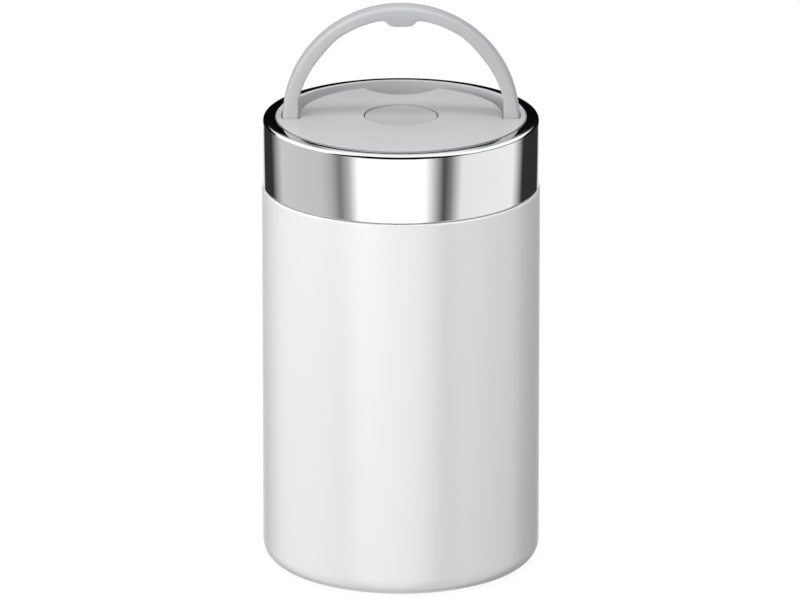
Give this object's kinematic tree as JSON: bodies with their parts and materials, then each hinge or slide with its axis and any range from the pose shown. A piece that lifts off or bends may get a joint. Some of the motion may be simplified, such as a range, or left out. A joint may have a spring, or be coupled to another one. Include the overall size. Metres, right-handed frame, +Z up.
{
  "type": "insulated food jar",
  "caption": "Cylindrical vacuum insulated food jar with a screw lid in a steel band, a folding carry handle and a press button that vents the jar.",
  "frame": {"origin": "middle of the foot, in the plane the jar stands on", "axes": "+Z up along the jar's axis, -Y towards the viewer, +X to the viewer's right; the handle stands upright in the XZ plane at rest"},
  "size_m": [0.102, 0.102, 0.2116],
  "materials": {
    "white_coat": "satin white powder coat over steel",
    "bare_steel": "bare satin stainless steel",
    "mirror_steel": "mirror polished stainless steel",
    "grey_plastic": "light grey moulded polypropylene",
    "inner_plastic": "grey moulded polypropylene",
    "silicone": "translucent white silicone",
    "foam": null,
    "foil": "thin bright aluminium foil",
    "pellet": "dull metal pellet and bead"
  },
  "bodies": {
    "jar": {"outer_shell": "white_coat", "base_plate": "bare_steel", "base_cover": "bare_steel", "sealing_bead": "pellet", "getter": "pellet", "inner_liner": "bare_steel", "heat_foil": "foil"},
    "seal": {"seal_ring": "silicone"},
    "lid": {"lid_band": "mirror_steel", "lid_inner": "inner_plastic", "stem_wiper": "silicone", "lid_insulation": "foam", "lid_cover": "grey_plastic", "handle_pin_left": "bare_steel", "handle_pin_right": "bare_steel"},
    "handle": {"handle": "grey_plastic"},
    "button": {"vent_button": "grey_plastic", "valve_stem": "inner_plastic", "valve_seal": "silicone", "button_spring": "bare_steel"}
  },
  "joints": [
    {"name": "seal_rise", "type": "slide", "parent": "jar", "child": "seal", "axis": [0, 0, 1], "range_m": [0, 0.0301]},
    {"name": "lid_turn", "type": "hinge", "parent": "seal", "child": "lid", "pos_m": [0, 0, 0.1588], "axis": [0, 0, 1], "range_deg": [0, 900]},
    {"name": "handle_fold", "type": "hinge", "parent": "lid", "child": "handle", "pos_m": [0, -0.0015, 0.1668], "axis": [-1, 0, 0], "range_deg": [0, 90]},
    {"name": "button_press", "type": "slide", "parent": "lid", "child": "button", "axis": [0, 0, -1], "range_m": [0, 0.003], "stiffness_N_per_m": 700, "springref_m": -0.004, "deforming": ["button_spring"]}
  ],
  "couplings": [
    {"joint": "seal_rise", "follows": "lid_turn", "m_per_rad": 0.0019099}
  ]
}
